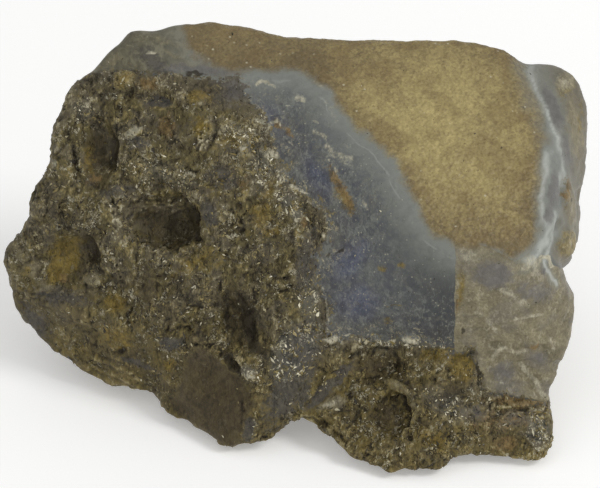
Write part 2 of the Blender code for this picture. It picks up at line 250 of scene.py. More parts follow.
# patches of colour, among them painted shade and painted glints: middle, size, turn, strength
PATCHES = {
    "cream": {
        "knob": ((125, 79), (20, 14), 0, 0.25),
        "slab top": ((566, 82), (28, 20), 60, 0.4),
        "hump spot": ((151, 52), (14, 5), 0, 0.8),
        "chip over the hollow": ((132, 133), (28, 12), 22, 0.6),
        "small dab": ((287, 107), (4, 4), 0, 0.6),
        "white grain": ((296, 219), (7, 6), 0, 1.0),
        "left edge": ((55, 164), (14, 7), 80, 0.4),
        "crystals by the crevice": ((252, 375), (16, 9), -15, 0.7),
        "left chip on the edge": ((330, 340), (20, 7), 12, 1.0),
        "chip on the edge": ((410, 340), (22, 8), -14, 1.0),
        "small chip": ((392, 341), (10, 4), 0, 0.8),
        "edge grain": ((363, 338), (6, 6), 0, 0.9),
        "second edge grain": ((347, 335), (7, 5), 0, 0.9),
        "tan chip": ((331, 405), (30, 13), 18, 0.45),
        "tan knob": ((566, 243), (30, 14), 80, 0.2),
        "corner top": ((468, 256), (26, 15), 0, 0.3),
        # painted glints on the druse
        "painted glint on the druse": ((502, 106), (3, 3), 0, 0.8),
        "second painted glint on the druse": ((461, 139), (4, 5), 0, 0.5),
    },
    "slate": {
        "dark patch": ((158, 101), (30, 13), -6, 1.0),
        "hump middle": ((150, 58), (46, 20), -30, 0.45),
        "under the chip": ((138, 143), (26, 14), 0, 0.7),
        "right of the middle hollow": ((210, 214), (32, 20), -75, 0.9),
        "spot in the middle": ((130, 218), (9, 6), 0, 0.6),
        "grey layers": ((60, 296), (70, 20), -8, 0.3),
        "left flank": ((36, 320), (50, 22), -50, 0.4),
        "over the plate": ((172, 343), (26, 13), 0, 0.9),
        "toe ledge": ((136, 363), (44, 9), -18, 0.5),
        "toe tip": ((249, 428), (30, 15), 80, 0.7),
        "strip": ((330, 385), (72, 12), 46, 1.6),
        "beside the strip": ((303, 396), (30, 13), 70, 0.8),
        "field": ((293, 374), (124, 46), 68, 0.6),
        "foot of the blue": ((300, 340), (26, 12), 60, 0.6),
        "beside the blue": ((306, 262), (90, 22), 82, 0.4),
        "left of the middle": ((222, 178), (44, 26), -30, 0.35),
        "upper edge": ((118, 190), (40, 16), 20, 0.3),
        "low left": ((282, 408), (30, 16), 40, 0.6),
    },
    # brown: the smooth plates' own colour, and painted shade in the valley, the hollows, the cavity and the
    # round pit
    "brown": {
        "valley": ((243, 318), (96, 44), -72, 1.2),
        "beside the hump": ((214, 90), (46, 22), -8, 0.5),
        "upper left hollow": ((97, 158), (76, 40), 80, 0.8),
        "middle hollow": ((166, 222), (84, 50), -14, 1.0),
        "wall of the yellow hollow": ((90, 246), (44, 30), -70, 0.9),
        "middle": ((150, 285), (60, 50), 0, 0.5),
        "cavity": ((374, 366), (60, 36), -14, 0.8),
        "round pit": ((388, 416), (44, 46), 0, 0.8),
        "lower lobe": ((446, 394), (50, 34), 20, 0.7),
        "under the hollow": ((60, 318), (50, 20), -30, 0.5),
    },
    "lilac": {
        "hump band": ((196, 70), (96, 12), -6, 0.8),
        "by the hump": ((232, 90), (46, 34), -20, 0.3),
        "dome": ((493, 274), (50, 32), 0, 1.0),
        "right dome": ((534, 292), (46, 24), -6, 0.5),
        "loop core": ((543, 271), (12, 5), 80, 0.8),
        "lower corner": ((504, 373), (34, 24), 0, 0.6),
        "right corner": ((537, 358), (22, 16), 0, 0.5),
        "lobe": ((514, 418), (54, 18), 4, 0.5),
        "lobe left": ((478, 414), (34, 22), 0, 0.4),
        "lace core": ((554, 190), (50, 14), 84, 0.9),
        "slab by the lace": ((553, 108), (60, 14), -68, 0.9),
        "slab middle": ((567, 152), (50, 12), -84, 0.6),
        "lower lace core": ((549, 214), (30, 12), 84, 0.9),
    },
    "rust": {
        "under the rim": ((338, 183), (52, 13), -62, 0.7),
        "lower rust": ((350, 204), (26, 14), -60, 0.6),
        "upper thread": ((277, 122), (18, 8), -60, 0.6),
        "second thread": ((290, 134), (22, 7), -60, 0.6),
        "hollow floor": ((93, 180), (18, 13), 0, 0.8),
        "beside the knob": ((150, 84), (28, 14), -8, 0.7),
        "yellow hollow floor": ((64, 279), (14, 9), 0, 0.8),
        "wrinkles": ((168, 129), (30, 18), 90, 0.5),
        "middle ochre": ((245, 183), (20, 13), 70, 0.6),
        "lower dab": ((305, 223), (13, 8), 50, 0.8),
        "corner edge": ((458, 304), (26, 5), 90, 1.0),
        "corner spot": ((535, 347), (12, 8), 0, 0.7),
        "right corner spot": ((551, 345), (10, 7), 80, 0.6),
        "band under the corner": ((516, 402), (64, 11), -5, 0.7),
        "lobe body": ((500, 420), (70, 26), 0, 0.3),
        "lobe patch": ((505, 443), (28, 17), 0, 0.95),
        "rim of the slab": ((566, 192), (40, 8), 84, 0.5),
    },
    "mustard": {
        "hollow": ((66, 256), (50, 36), 80, 0.7),
        "hollow floor": ((60, 268), (34, 24), 60, 1.8),
        "knob": ((125, 81), (26, 20), 0, 0.9),
        "flank": ((89, 160), (34, 15), 84, 0.5),
        "left": ((26, 270), (15, 14), 0, 0.6),
        "under the hollow": ((115, 303), (26, 22), 0, 1.2),
        "lower left": ((118, 337), (46, 24), -30, 0.55),
        "by the plate": ((170, 366), (18, 11), 90, 0.8),
        "crystals": ((257, 376), (20, 13), -10, 0.8),
        "over the hump": ((198, 97), (30, 15), 0, 0.5),
        "wrinkles": ((200, 127), (28, 18), 90, 0.5),
        "middle": ((272, 190), (42, 20), 80, 0.55),
        "beside the blue": ((272, 232), (26, 12), 15, 0.8),
        "cluster": ((233, 140), (40, 22), 0, 0.45),
        "threads by the blue": ((262, 212), (56, 26), 68, 0.4),
        "under the middle hollow": ((196, 262), (60, 30), 20, 0.3),
        "edge lump": ((437, 356), (40, 20), -5, 0.7),
        "corner lump": ((462, 366), (38, 26), -60, 1.1),
        "corner strip": ((461, 286), (52, 9), 90, 0.6),
        "by the rust": ((345, 200), (40, 15), -52, 0.6),
        "blue dab": ((382, 268), (9, 8), 0, 0.7),
        "second blue dab": ((402, 265), (9, 6), 0, 0.6),
        "blue dash": ((393, 306), (24, 3), 0, 0.6),
        "low blue dab": ((388, 320), (12, 6), 10, 0.4),
        "slab top": ((565, 90), (26, 16), 60, 0.25),
        "slab edge": ((581, 122), (44, 7), 90, 0.3),
        "tan knob": ((565, 244), (34, 16), 80, 0.6),
        "lobe left": ((434, 440), (44, 20), -20, 0.5),
    },
    # dark spots and cracks; on the walls and rims of the hollows and pits, in the valley, over the plate,
    # under the strip and in the corner crevice the dark is painted shade
    "dark": {
        "lens": ((195, 74), (24, 6), -4, 1.2),
        "upper left wall": ((114, 151), (48, 8), 84, 0.7),
        "middle hollow": ((191, 218), (44, 16), -70, 0.8),
        "under the arched rim": ((158, 201), (58, 7), 4, 0.4),
        "yellow hollow wall": ((94, 252), (36, 16), -75, 0.9),
        "pit": ((121, 351), (11, 8), 0, 0.5),
        "over the plate": ((232, 364), (36, 9), -48, 1.5),
        "valley": ((247, 320), (88, 28), -76, 0.8),
        "valley foot": ((254, 344), (36, 22), -62, 0.9),
        "on the blue": ((338, 251), (16, 5), 25, 0.9),
        "second on the blue": ((328, 256), (7, 6), 0, 0.8),
        "third on the blue": ((440, 331), (10, 5), -40, 0.5),
        "cavity rim": ((398, 364), (30, 9), 90, 0.7),
        "round pit rim": ((408, 424), (28, 9), 90, 0.8),
        "crevice at the corner": ((479, 370), (34, 4), -75, 0.9),
        "under the strip": ((322, 425), (48, 11), -35, 0.5),
        "druse dot": ((500, 148), (3.5, 3.5), 0, 0.8),
        "second druse dot": ((511, 141), (4, 3), 0, 0.8),
        "third druse dot": ((454, 230), (5, 3), 0, 0.7),
        "slab dot": ((568, 200), (7, 3.5), 85, 0.8),
        "corner crack": ((463, 330), (10, 5), 60, 0.7),
    },
    "tan": {
        "slab": ((575, 128), (96, 20), -84, 0.8),
        "slab top": ((566, 84), (30, 22), 60, 1.8),
        "slab strip": ((569, 204), (60, 13), -84, 1.0),
        "tan knob": ((565, 244), (38, 19), 80, 1.3),
        "tan chip": ((331, 405), (34, 17), 18, 2.2),
        "bridge": ((398, 386), (34, 12), -28, 0.6),
        "right of the round pit": ((414, 404), (40, 12), -65, 0.5),
        "ochre knob": ((125, 81), (28, 22), 0, 0.6),
        "knob in the hollow": ((95, 279), (25, 15), 0, 1.2),
        "hump left": ((112, 62), (32, 12), 40, 0.5),
        "hump top": ((160, 41), (50, 10), -8, 0.35),
        "hump streak": ((173, 55), (32, 5), -28, 0.7),
        "left edge": ((20, 250), (18, 40), 0, 0.4),
        "low left": ((29, 269), (24, 16), 10, 1.2),
        "left layers": ((46, 288), (30, 12), -10, 0.5),
        "lobe": ((512, 424), (66, 40), 0, 0.25),
        "below the loop": ((522, 266), (26, 12), 20, 0.8),
    },
    "bluer": {
        "low": ((355, 303), (56, 42), 0, 0.8),
        "middle": ((348, 262), (60, 36), 50, 0.7),
        "upper": ((318, 180), (56, 24), -60, 0.8),
        "right": ((424, 330), (50, 26), 0, 0.4),
        "top": ((266, 112), (60, 30), -60, 0.5),
    },
    "frosted": {
        "low middle": ((294, 350), (74, 46), 60, 0.9),
        "crystals by the crevice": ((252, 374), (32, 18), -15, 1.0),
        "edge of the blue": ((392, 341), (140, 11), -4, 1.0),
        "cluster": ((238, 140), (56, 34), -20, 0.6),
        "threads": ((270, 176), (84, 40), -66, 0.55),
        "flakes": ((162, 174), (70, 30), -16, 0.2),
        "upper left": ((84, 108), (30, 22), 40, 0.25),
        "by the blue": ((292, 206), (44, 22), -50, 0.7),
        "lower lobe": ((446, 404), (64, 34), -30, 0.4),
        "blue foot": ((310, 300), (60, 26), 90, 0.6),
        "right of the corner": ((538, 430), (26, 44), 0, 0.9),
    },
}

# ------------------------------------------------------------------------------
# Places on the stone, in millimetres

# the back: a smooth banded window broken through the crust, seen as (x, height)
WINDOW_MIDDLE, WINDOW_SIZE = (14.0, 31.0), (42.0, 30.0)
WINDOW_SLOPE = 14.0  # turns the share of the window's oval into a rough depth inside it
RING_WIDTH = 3.8  # from one ring of the window to the next
DRUSE_OVERHANG = 9.0  # how far the druse comes down the back
DRUSE_END = -14  # left of this x it comes down less
SLAB_START, SLAB_FOOT = 43, 9  # on the hidden sides the slab lies right of this x and above this height
HUMP_END, HUMP_FOOT = -18, 49  # and the hump left of this x and above this height

# where a colour changes along x or with height: none of the change at the first, all of it at the second
CRUST_DARKENS = (-26, -50)  # along x, towards the left end
CRUST_WARMS = (34, 8)  # with height, towards the foot
CRUST_LIGHTENS = (26, 44)  # with height, towards the top
# the blue face's darkening towards the corner is painted shade
BLUE_SHADE_SPAN = (14, 30)  # along x, towards the corner
# painted light and shade on the druse: lightest right of the middle, darker towards the left
DRUSE_SHADE_SPAN = (18, -22)  # along x, towards the left
DRUSE_PAINTED_LIGHT, PAINTED_LIGHT_REACH = (27.0, 6.0, 52.0), (30, 4)  # the lightest part of the druse, right of the middle


def seen(places):
    """Where the camera sees the places, in millimetres: across and down, in steps of the view."""
    offset = places - VIEW_MIDDLE
    away = VIEW_AWAY - offset @ VIEW_BACK
    scale = VIEW_AWAY / VIEW_STEP / away
    return VIEW_WIDE / 2 + offset[:, 0] * scale, VIEW_TALL / 2 - offset @ VIEW_UP * scale


def off_line(x, y, line):
    """How far the points are from an open line."""
    nearest = np.full(len(x), 1e9)
    for (ax, ay), (bx, by) in zip(line, line[1:]):
        along = ((x - ax) * (bx - ax) + (y - ay) * (by - ay)) / ((bx - ax) ** 2 + (by - ay) ** 2)
        along = np.clip(along, 0, 1)
        nearest = np.minimum(nearest, np.hypot(x - ax - along * (bx - ax), y - ay - along * (by - ay)))
    return nearest


def inside_by(x, y, outline):
    """How far inside a closed outline the points are; less than 0 outside."""
    within = np.zeros(len(x), bool)
    for (ax, ay), (bx, by) in zip(outline, outline[1:] + outline[:1]):
        if ay != by:
            within ^= ((ay > y) != (by > y)) & (x < (bx - ax) * (y - ay) / (by - ay) + ax)
    nearest = off_line(x, y, outline + outline[:1])
    return np.where(within, nearest, -nearest)


def along_lines(x, y, marks, crisp=1.0):
    """The strength on each mark's line, 0 half its width away and less beyond; the strongest mark counts.
    Crisp is more than 1 for marks that keep their strength over more of their width."""
    found = np.full(len(x), -1.5)
    for line, half, strength in marks.values():
        found = np.maximum(found, strength * np.minimum(1, crisp * (1 - off_line(x, y, line) / half)))
    return found


def in_oval(x, y, middle, size, turn):
    """1 in the middle of an oval, 0 on its edge and less outside."""
    turn = math.radians(turn)
    x, y = x - middle[0], middle[1] - y
    long = (x * math.cos(turn) + y * math.sin(turn)) / (size[0] / 2)
    wide = (y * math.cos(turn) - x * math.sin(turn)) / (size[1] / 2)
    return 1 - np.hypot(long, wide)


def soft_step(value, low, high):
    share = np.clip((value - low) / (high - low), 0, 1)
    return share * share * (3 - 2 * share)


def lumps(places, size, octaves=1, seed=0):
    """Smooth noise from about -1 to 1, with lumps of this size in millimetres."""
    shift = Vector((37.1, 17.3, 5.9)) * seed
    return np.array([noise.fractal(Vector(place) / size + shift, 1.0, 2.0, octaves) for place in places])


def ridges(places, size, octaves=2, seed=0):
    """Noise from 0 to 1 with sharp crests."""
    shift = Vector((11.7, 41.3, 23.9)) * seed
    return np.array([1 - noise.turbulence(Vector(place) / size + shift, octaves, True) for place in places])


def facets(places, size, seed=0):
    """Relief from about -1 to 1 in small flat faces, each tilted its own way."""
    shift = Vector((5.3, 29.9, 61.7)) * seed
    made = np.empty(len(places))
    for i, place in enumerate(places):
        spot = Vector(place) / size + shift
        centre = noise.voronoi(spot)[1][0]
        tilt = noise.noise_vector(centre * 7.7)
        made[i] = 2.2 * (spot - centre).dot(tilt) + 0.7 * tilt.y
    return made


# ------------------------------------------------------------------------------
# Sizes and colours that a user would change


def colour(name, description, red, green, blue):
    """A colour property. Its default is given on the usual scale of 0 to 255."""
    linear = [((v / 255 + 0.055) / 1.055) ** 2.4 if v > 10 else v / 255 / 12.92 for v in (red, green, blue)]
    return bpy.props.FloatVectorProperty(
        name=name, description=description, subtype="COLOR", size=3, min=0, max=1, default=linear)


def length(name, description, default):
    """A length property. Its default is given in millimetres."""
    return bpy.props.FloatProperty(
        name=name, description=description, default=default * MM, min=0, unit="LENGTH", precision=5)


class AgateSizes(bpy.types.PropertyGroup):
    mesh_step: length("Mesh step", "How fine the stone's mesh is", 0.57)
    crust_rise: length("Crust rise", "How far the crust stands above the smooth faces", 0.2)
    crust_relief: length("Crust relief", "Height of the crust's lumps", 0.7)
    chip_relief: length("Chip relief", "Height of the crust's small broken faces", 0.2)
    seam_depth: length("Seam depth", "Depth of the thin seams in the crust", 0.45)
    druse_relief: length("Druse relief", "Height of the druse's small knobs", 0.16)
    face_relief: length("Face relief", "Height of the ripples on the smooth faces", 0.1)
    grain_size: length("Grain size", "Length of a middling quartz grain", 0.46)
    grain_count: bpy.props.IntProperty(
        name="Grain count", description="How many quartz grains grow on the stone", default=8500, min=0,
        max=20000)


class AgateColours(bpy.types.PropertyGroup):
    # the crust's darkest tone, also laid on as painted shade in the hollows, the creases and the dark patches
    crust_dark: colour("Crust, dark", "The crust's cracks and hollows", 38, 31, 16)
    crust_olive: colour("Crust, olive", "The crust's main colour", 94, 85, 55)
    crust_pale: colour("Crust, pale", "The crust's worn edges", 144, 130, 84)
    crust_grey: colour("Crust, grey", "Where the agate shows through the crust", 96, 90, 76)
    gold: colour("Mustard", "Ochre stains", 120, 102, 44)
    rust: colour("Rust", "Rust stains", 118, 98, 62)
    cream: colour("Cream", "Chips and threads of white quartz", 190, 184, 160)
    druse_dark: colour("Druse, dark", "The druse's hollows", 117, 103, 74)
    druse: colour("Druse", "The druse's main colour", 142, 127, 87)
    druse_light: colour("Druse, light", "The druse's crests", 166, 151, 103)
    blue: colour("Blue", "The banded face", 93, 95, 93)
    blue_deep: colour("Deep blue", "The darker and bluer bands", 86, 90, 106)
    rim: colour("Rim", "The pale band round the druse", 130, 133, 126)
    lilac: colour("Lilac", "Grey violet agate", 108, 105, 103)
    corner: colour("Corner", "The grey corner", 131, 123, 98)
    slate: colour("Slate", "Dark smooth patches in the crust", 76, 73, 68)
    plate: colour("Plate", "The smooth brown plates", 67, 58, 41)
    lace: colour("Lace", "The white lace bands", 170, 173, 166)
    hump: colour("Hump", "The olive grey hump at the top left", 109, 105, 87)


class AgateStudio(bpy.types.PropertyGroup):
    floor: colour("Floor", "The floor's colour", 244, 244, 243)
    sky: colour("Surroundings", "The colour of the surroundings", 250, 250, 250)
    sky_strength: bpy.props.FloatProperty(
        name="Surroundings, strength", description="Light from all round", default=0.62, min=0)
    key_power: bpy.props.FloatProperty(
        name="Main light", description="Power of the large soft light at the upper right", default=5.0, min=0,
        unit="POWER")


# ------------------------------------------------------------------------------
# The stone's mesh

# how often the fine mesh is averaged: to take the solid's facets away, and to make the smoother shapes that
# hollows and creases are measured against
SMOOTHING, HOLLOW_BREADTH, CREASE_BREADTH = 11, 31, 5
BORDER_WANDER, PATCH_WANDER = 5, 3  # how far the borders and the patches wander, in steps of the view
UPRIGHT = (1, 0.45, 0.45)  # draws the crust's ridges out upwards


def read_shape(mesh):
    """The places, in millimetres, and the normals of the mesh's vertices."""
    places = np.empty(len(mesh.vertices) * 3)
    normals = np.empty(len(mesh.vertices) * 3)
    mesh.vertices.foreach_get("co", places)
    mesh.vertex_normals.foreach_get("vector", normals)
    return places.reshape(-1, 3) / MM, normals.reshape(-1, 3)


def write_places(mesh, places):
    mesh.vertices.foreach_set("co", (places * MM).ravel())
    mesh.update()


def edges_of(mesh):
    edges = np.empty(len(mesh.edges) * 2, int)
    mesh.edges.foreach_get("vertices", edges)
    return edges.reshape(-1, 2)


def spread(values, edges, times):
    """Averages each vertex's value with its neighbours', so many times."""
    near, far = np.concatenate([edges, edges[:, ::-1]]).T
    count = np.bincount(near, minlength=len(values))
    for _ in range(times):
        around = np.stack([np.bincount(near, column[far], len(values)) for column in values.T], axis=1)
        values = 0.5 * values + 0.5 * around / count[:, None]
    return values


def write_measure(mesh, name, values):
    mesh.attributes.new(name, "FLOAT", "POINT").data.foreach_set("value", values.astype(np.float32))


def read_measure(mesh, name):
    values = np.empty(len(mesh.vertices), np.float32)
    mesh.attributes[name].data.foreach_get("value", values)
    return values


def fine_copy(node, step):
    """The CAD node's shape as an even, fine mesh with its facets smoothed away."""
    bm = bmesh.new()
    bm.from_mesh(node.data)
    bmesh.ops.remove_doubles(bm, verts=bm.verts, dist=1e-6)
    mesh = bpy.data.meshes.new("banded_stone")
    bm.to_mesh(mesh)
    bm.free()
    stone = bpy.data.objects.new("banded_stone", mesh)
    bpy.context.scene.collection.objects.link(stone)
    remesh = stone.modifiers.new("even", "REMESH")
    remesh.mode = "VOXEL"
    remesh.voxel_size = step
    graph = bpy.context.evaluated_depsgraph_get()
    stone.data = bpy.data.meshes.new_from_object(stone.evaluated_get(graph))
    stone.modifiers.clear()
    bpy.data.meshes.remove(mesh)
    stone.data.name = "banded_stone"
    places, _ = read_shape(stone.data)
    write_places(stone.data, spread(places, edges_of(stone.data), SMOOTHING))
    return stone


def lie_of(places, normals):
    """Where each vertex lies: how far, in millimetres, it is inside each kind of surface. On the front the
    outlines of the view say so, and on the sides that the view hides simple rules do."""
    across, down = seen(places)
    wander = np.stack([lumps(places, 3.5, 2, seed) for seed in (1, 2)]) * BORDER_WANDER
    front = soft_step(normals @ VIEW_BACK, -0.25, 0.05)
    x, y, z = places.T
    uneven = lumps(places, 9, 3, 3)
    window = in_oval(x, z, WINDOW_MIDDLE, WINDOW_SIZE, 0) * WINDOW_SLOPE + uneven * 5
    window = np.where(y > 0, window, -6.0)
    top = SOLID_HIGH.z / MM
    druse_behind = z - (top - DRUSE_OVERHANG) + uneven * 4 - np.clip(DRUSE_END - x, 0, DRUSE_OVERHANG)
    slab_behind = np.minimum(x - SLAB_START, z - SLAB_FOOT) + uneven * 3.5
    hump_behind = np.minimum(HUMP_END - x, z - HUMP_FOOT) + uneven * 2
    crust_behind = -np.max([window, druse_behind, slab_behind, hump_behind], axis=0)

    def both(outline, behind, share=1.0):
        inside = inside_by(across + wander[0] * share, down + wander[1] * share, outline)
        return front * inside * VIEW_STEP + (1 - front) * behind

    banded = window + 20 + 1.2 * lumps(places, 14, 1, 24)
    half = RING_WIDTH / 2
    rings = 0.55 - 0.8 * np.abs(banded % RING_WIDTH - half) - np.where(window > 0.5, 0, 9.0)
    lace = along_lines(across + wander[0], down + wander[1], LACE)
    return {
        "druse": both(DRUSE, druse_behind),
        "crust": both(CRUST, crust_behind),
        "corner": both(CORNER, slab_behind + 1, 0.3),
        "slab": both(SLAB, slab_behind),
        "hump": both(HUMP, hump_behind),
        "lace": np.where(front > 0.5, lace, np.clip(rings, -1.5, 1)),
        "front": front,
    }


def add_relief(stone, sizes):
    """Pushes the fine mesh in and out, and writes the measures that the materials read."""
    mesh = stone.data
    places, normals = read_shape(mesh)
    edges = edges_of(mesh)
    lie = lie_of(places, normals)
    across, down = seen(places)
    front = lie["front"]
    crust = soft_step(lie["crust"], -0.35, 0.6)
    druse = soft_step(lie["druse"], -0.8, 0.8)
    bare = (1 - crust) * (1 - druse)
    calm = np.ones(len(places))
    for outline, loss in CALM.values():
        calm *= 1 - loss * front * soft_step(inside_by(across, down, outline), -4, 5)
    rough = crust * soft_step(lie["crust"], -1.0, 2.2) * calm

    # the crust: lumps, ridges, thin seams and small broken faces
    height = crust * sizes.crust_rise / MM
    flowing = places + 1.3 * np.stack([lumps(places, 5, 2, seed) for seed in (18, 19, 20)], axis=1)
    streaky = flowing * UPRIGHT
    relief = 0.9 * lumps(places, 7, 3, 4) + 0.6 * (ridges(flowing, 4.2, 3, 5) - 0.55)
    relief += 0.45 * (ridges(streaky, 1.5, 2, 21) - 0.55)
    height += rough * relief * sizes.crust_relief / MM
    seams = soft_step(-np.abs(lumps(streaky, 4.2, 2, 22)), -0.09, 0)
    seams *= soft_step(lumps(places, 6, 1, 23), -0.2, 0.2)
    height -= (0.2 + 0.8 * rough) * crust * seams * sizes.seam_depth / MM
    chips = facets(flowing, 1.8, 6) + 0.7 * facets(flowing, 1.1, 7)
    height += (0.12 + 0.88 * rough) * crust * chips * sizes.chip_relief / MM

    # the druse's knobs, the ripples of the smooth faces and the layers of the corner and the slab
    height += druse * (lumps(places, 1.5, 2, 8) + 0.8 * lumps(places, 4, 1, 9)) * sizes.druse_relief / MM
    ripples = lumps(places * (1, 1, 1.6), 5, 2, 10) + 0.35 * facets(places, 3.5, 11)
    height += bare * ripples * sizes.face_relief / MM
    corner = soft_step(np.maximum(lie["corner"], lie["slab"]), -0.2, 0.8) * bare
    layers = 1.6 * lumps(places * (1, 1, 1.5), 3, 3, 25) + 0.8 * facets(streaky, 2.6, 26)
    height += corner * layers * sizes.face_relief / MM

    # what stands out, cracks and folds
    for middle, size, turn, rise in BUMPS.values():
        height += front * rise * soft_step(in_oval(across, down, middle, size, turn), -0.15, 0.55)
    jitter = lumps(places, 1.6, 2, 12) * 2.5
    uneven = np.clip(0.6 + 1.1 * lumps(places, 3, 2, 17), 0.1, 1.2)
    for line, width, depth in CREVICES.values():
        off = off_line(across + jitter, down - jitter, line)
        height -= front * depth * uneven * soft_step(-off, -width * (0.4 + 0.7 * uneven), 0)
    for middle, size, turn, apart, rise in FOLDS.values():
        angle = math.radians(turn)
        square = (across * math.sin(angle) + down * math.cos(angle)) + jitter * 1.5
        ridge = 1 - np.abs(np.sin(square * math.pi / apart)) ** 0.8 * 2
        height += front * rise * ridge * soft_step(in_oval(across, down, middle, size, turn), 0, 0.4)

    height *= np.clip(places[:, 2] * 2, 0, 1)  # none where the stone rests
    places = places + normals * height[:, None]
    places[:, 2] = np.maximum(places[:, 2], 0)
    write_places(mesh, places)

    _, normals = read_shape(mesh)
    # how far each vertex sinks below the smoothed mesh; the materials paint shade by these
    for name, times in (("hollow", HOLLOW_BREADTH), ("crease", CREASE_BREADTH)):
        write_measure(mesh, name, np.einsum("ij,ij->i", spread(places, edges, times) - places, normals))
    for name, values in lie.items():
        write_measure(mesh, name, values)
    write_measure(mesh, "rough", rough)
    write_measure(mesh, "smooth", 1 - calm)
    write_patches(mesh, places, across, down, front)
    mesh.shade_smooth()


def write_patches(mesh, places, across, down, front):
    """Writes how deep each vertex lies in each kind of patch: the patch's strength in the middle, 0 on its
    edge and -1 well outside."""
    warp = np.stack([lumps(places, 1.8, 2, seed) for seed in (13, 14)]) * PATCH_WANDER
    for kind, patches in PATCHES.items():
        deepest = np.full(len(places), -1.0)
        for middle, size, turn, strength in patches.values():
            value = in_oval(across + warp[0], down + warp[1], middle, size, turn)
            deepest = np.maximum(deepest, np.where(value > 0, value * strength, value))
        if kind == "brown":
            depth = inside_by(across + warp[0], down + warp[1], CALM["brown plate"][0])
            deepest = np.maximum(deepest, np.clip(depth / 6, -1, 1.3))
        if kind == "cream":
            scratched = along_lines(across + warp[0] * 0.5, down + warp[1] * 0.5, SCRATCHES, 1.5)
            deepest = np.maximum(deepest, scratched)
        write_measure(mesh, kind, np.where(front > 0.5, np.maximum(deepest, -1), -1.0))


# ------------------------------------------------------------------------------
# Materials


class Nodes:
    """Adds nodes to a tree. A socket given as a value is linked."""

    def __init__(self, tree):
        self.tree = tree

    def add(self, kind, sockets=None, **settings):
        node = self.tree.nodes.new("ShaderNode" + kind)
        node.location = (180 * (len(self.tree.nodes) % 14), -220 * (len(self.tree.nodes) // 14))
        for name, value in settings.items():
            setattr(node, name, value)
        for key, value in (sockets or {}).items():
            self.put(value, node.inputs[key])
        return node

    def put(self, value, socket):
        if isinstance(value, bpy.types.NodeSocket):
            self.tree.links.new(value, socket)
        else:
            socket.default_value = value

    def place(self):
        """The place on the stone, in millimetres."""
        where = self.add("TexCoord").outputs["Object"]
        return self.add("Mapping", {"Vector": where, "Scale": (1 / MM,) * 3}).outputs["Vector"]

    def axis(self, place, name):
        return self.add("SeparateXYZ", {"Vector": place}).outputs[name]

    def vector(self, how, a, b, c=(0, 0, 0)):
        return self.add("VectorMath", {0: a, 1: b, 2: c}, operation=how).outputs["Vector"]

    def measure(self, name):
        """What add_relief wrote for each vertex."""
        return self.add("Attribute", attribute_name=name).outputs["Fac"]

    def lumps(self, place, size, detail=2.0, rough=0.5, twist=0.0):
        sockets = {
            "Vector": place, "Scale": 1 / size, "Detail": detail, "Roughness": rough, "Distortion": twist}
        return self.add("TexNoise", sockets).outputs["Fac"]

    def cells(self, place, size, **settings):
        return self.add("TexVoronoi", {"Vector": place, "Scale": 1 / size}, **settings)

    def chance(self, cells):
        """A number from 0 to 1 for each cell."""
        return self.add("SeparateColor", {"Color": cells.outputs["Color"]}).outputs[0]

    def math(self, how, a, b=0.0, c=0.0):
        return self.add("Math", {0: a, 1: b, 2: c}, operation=how).outputs[0]

    def times(self, a, b):
        return self.math("MULTIPLY", a, b)

    def line(self, value, slope, start):
        """The start where the value is 0, and as much more as the slope says where it is 1."""
        return self.math("MULTIPLY_ADD", value, slope, start)

    def total(self, *parts):
        """Adds up (value, weight) pairs."""
        made = self.times(*parts[0])
        for value, weight in parts[1:]:
            made = self.line(value, weight, made)
        return made

    def step(self, value, low, high):
        """0 at low, 1 at high, and a soft step between them."""
        sockets = {"Value": value, "From Min": low, "From Max": high}
        return self.add("MapRange", sockets, interpolation_type="SMOOTHSTEP").outputs["Result"]

    def ramp(self, value, *stops):
        node = self.add("ValToRGB", {"Fac": value})
        points = node.color_ramp.elements
        while len(points) < len(stops):
            points.new(0.5)
        for point, (where, shade) in zip(points, stops):
            point.position = where
            point.color = (*shade, 1)
        return node.outputs["Color"]

    def mix(self, share, a, b):
        a, b = (each if isinstance(each, bpy.types.NodeSocket) else (*each, 1) for each in (a, b))
        return self.add("Mix", {0: share, 6: a, 7: b}, data_type="RGBA").outputs[2]

    def cover(self, under, shade, mask, most):
        """Lays a shade over what is there, at most so much of it where the mask is 1."""
        return self.mix(self.times(mask, most), under, shade)

    def between(self, tone, shade, dark, light):
        """The shade, made so dark where the tone is 0 and so light where it is 1."""
        return self.mix(tone, lit(shade, dark), lit(shade, light))


def lit(shade, times):
    """A colour made lighter or darker."""
    return tuple(min(1.0, v * times) for v in shade)


